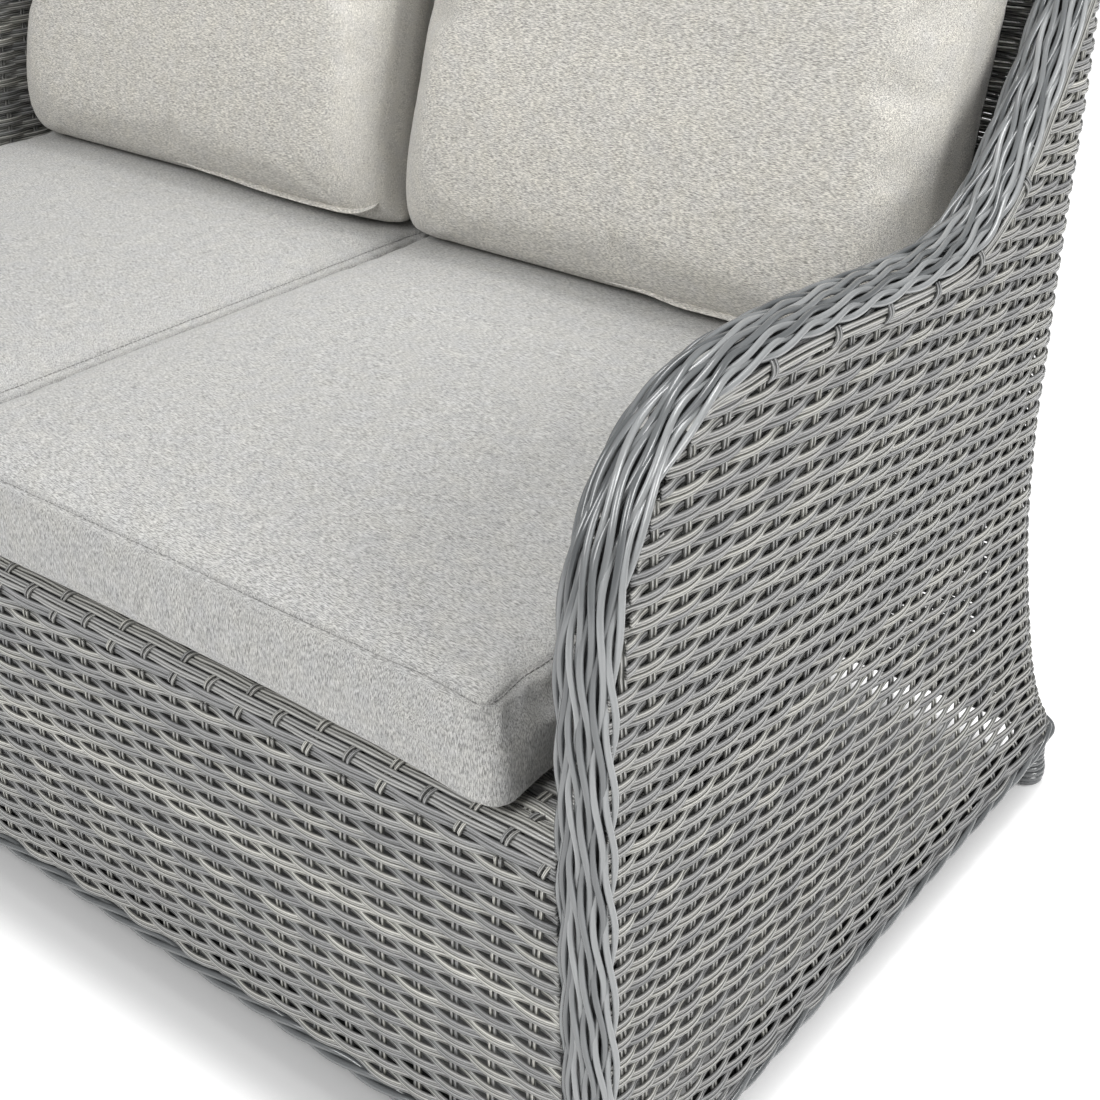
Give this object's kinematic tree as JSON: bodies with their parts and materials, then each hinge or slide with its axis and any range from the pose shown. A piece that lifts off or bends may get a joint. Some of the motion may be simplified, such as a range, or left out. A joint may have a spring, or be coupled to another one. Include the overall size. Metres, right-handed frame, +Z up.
{
  "type": "rattan garden sofa",
  "caption": "Two-seat woven garden sofa with swept braided arms, a woven skirt to the ground, short wrapped feet and loose seat and back cushions.",
  "frame": {"origin": "centre of the footprint, on the ground", "axes": "+Z up, +X along the sofa's width to the right seen from the front, +Y towards the back"},
  "size_m": [1.4092, 0.8032, 0.8732],
  "materials": {
    "frame_metal": "grey powder coat on bent tube",
    "weave": "grooved half-round woven strands, warm and cool greys mixed",
    "braid": "round strands plaited and twisted, bluish grey, soft gloss",
    "glide": "moulded glide",
    "fabric": "light warm grey heathered outdoor fabric, plain weave"
  },
  "bodies": {
    "frame": {"arm_tube_right": "frame_metal", "arm_tube_left": "frame_metal", "rear_post_right": "frame_metal", "rear_post_left": "frame_metal", "front_seat_rail": "frame_metal", "rear_seat_rail": "frame_metal", "side_seat_rail_right": "frame_metal", "side_seat_rail_left": "frame_metal", "back_top_rail": "frame_metal", "lower_rail_front": "frame_metal", "lower_rail_back": "frame_metal", "lower_rail_side_right": "frame_metal", "lower_rail_side_left": "frame_metal", "deck_bar_left": "frame_metal", "deck_bar_middle": "frame_metal", "deck_bar_right": "frame_metal", "back_strut_left": "frame_metal", "back_strut_middle": "frame_metal", "back_strut_right": "frame_metal", "front_apron_weave": "weave", "front_rail_wrap": "weave", "seat_deck_weave": "weave", "outer_arm_weave_right": "weave", "outer_arm_weave_left": "weave", "corner_weave_right": "weave", "corner_weave_left": "weave", "inner_arm_weave_right": "weave", "inner_arm_weave_left": "weave", "outer_back_weave": "weave", "inner_back_weave": "weave", "arm_braid_right": "braid", "arm_braid_left": "braid", "back_top_braid": "braid", "border_rope_front": "braid", "border_rope_back": "braid", "border_rope_side_right": "braid", "border_rope_side_left": "braid", "front_foot_wrap_right": "braid", "front_foot_wrap_left": "braid", "rear_foot_wrap_right": "braid", "rear_foot_wrap_left": "braid", "front_glide_right": "glide", "front_glide_left": "glide", "rear_glide_right": "glide", "rear_glide_left": "glide"},
    "seat_cushion_right": {"seat_cushion_right": "fabric"},
    "seat_cushion_left": {"seat_cushion_left": "fabric"},
    "back_cushion_right": {"back_cushion_right": "fabric"},
    "back_cushion_left": {"back_cushion_left": "fabric"}
  },
  "joints": [
    {"name": "seat_cushion_right_lift_out", "type": "slide", "parent": "frame", "child": "seat_cushion_right", "axis": [0, -1, 0], "range_m": [0, 0.7]},
    {"name": "seat_cushion_left_lift_out", "type": "slide", "parent": "frame", "child": "seat_cushion_left", "axis": [0, -1, 0], "range_m": [0, 0.7]},
    {"name": "back_cushion_right_lift_out", "type": "slide", "parent": "frame", "child": "back_cushion_right", "axis": [0, 0.1392, 0.9903], "range_m": [0, 0.46]},
    {"name": "back_cushion_left_lift_out", "type": "slide", "parent": "frame", "child": "back_cushion_left", "axis": [0, 0.1392, 0.9903], "range_m": [0, 0.46]}
  ]
}
